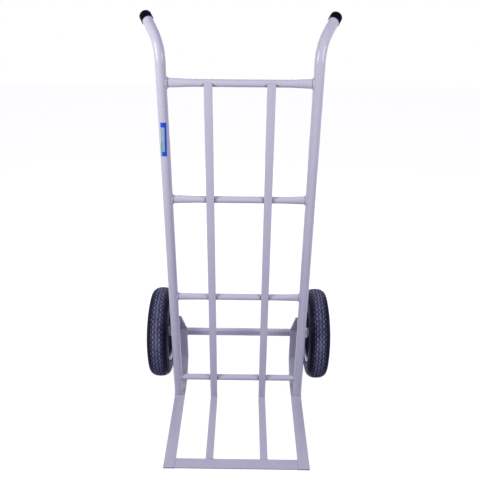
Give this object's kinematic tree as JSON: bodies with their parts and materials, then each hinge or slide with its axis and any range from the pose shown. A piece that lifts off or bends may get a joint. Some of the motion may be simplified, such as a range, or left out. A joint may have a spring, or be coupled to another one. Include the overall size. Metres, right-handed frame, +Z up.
{
  "type": "two-wheel hand truck",
  "caption": "Welded tube hand truck with a barred toe, slatted back, bent-back capped handles and free-running air-filled wheels.",
  "frame": {"origin": "on the floor, under the middle of the truck's bounding box, about in line with the rails", "axes": "+Z up, +X to the right as seen from the load side, -Y towards the load side and the toe"},
  "size_m": [0.7026, 0.6912, 1.3632],
  "materials": {
    "frame_paint": "smooth lavender-grey enamel over welded steel",
    "cap_plastic": "soft black plastic",
    "tyre_rubber": "matt black rubber",
    "valve_rubber": "black rubber",
    "rim_paint": "satin black enamel on pressed steel",
    "zinc": "bright zinc plate",
    "bearing_steel": "ground steel"
  },
  "bodies": {
    "frame": {"left_rail": "frame_paint", "right_rail": "frame_paint", "top_cross_tube": "frame_paint", "upper_cross_tube": "frame_paint", "lower_cross_tube": "frame_paint", "foot_cross_tube": "frame_paint", "left_slat": "frame_paint", "right_slat": "frame_paint", "left_side_bar": "frame_paint", "right_side_bar": "frame_paint", "toe_front_bar": "frame_paint", "axle_housing": "frame_paint", "left_handle_cap": "cap_plastic", "right_handle_cap": "cap_plastic", "axle": "zinc", "left_axle_spacer": "zinc", "right_axle_spacer": "zinc", "left_inner_washer": "zinc", "right_inner_washer": "zinc", "left_outer_washer": "zinc", "right_outer_washer": "zinc", "left_split_pin": "zinc", "right_split_pin": "zinc"},
    "left_wheel": {"left_tyre": "tyre_rubber", "left_rim_inner_half": "rim_paint", "left_rim_outer_half": "rim_paint", "left_hub": "zinc", "left_inner_bearing": "bearing_steel", "left_outer_bearing": "bearing_steel", "left_rim_bolt_1": "zinc", "left_rim_bolt_2": "zinc", "left_rim_bolt_3": "zinc", "left_rim_bolt_4": "zinc", "left_valve": "valve_rubber"},
    "right_wheel": {"right_tyre": "tyre_rubber", "right_rim_inner_half": "rim_paint", "right_rim_outer_half": "rim_paint", "right_hub": "zinc", "right_inner_bearing": "bearing_steel", "right_outer_bearing": "bearing_steel", "right_rim_bolt_1": "zinc", "right_rim_bolt_2": "zinc", "right_rim_bolt_3": "zinc", "right_rim_bolt_4": "zinc", "right_valve": "valve_rubber"}
  },
  "joints": [
    {"name": "left_wheel_spin", "type": "hinge", "parent": "frame", "child": "left_wheel", "pos_m": [-0.303, 0.17165, 0.174], "axis": [1, 0, 0], "continuous": true},
    {"name": "right_wheel_spin", "type": "hinge", "parent": "frame", "child": "right_wheel", "pos_m": [0.303, 0.17165, 0.174], "axis": [1, 0, 0], "continuous": true}
  ]
}
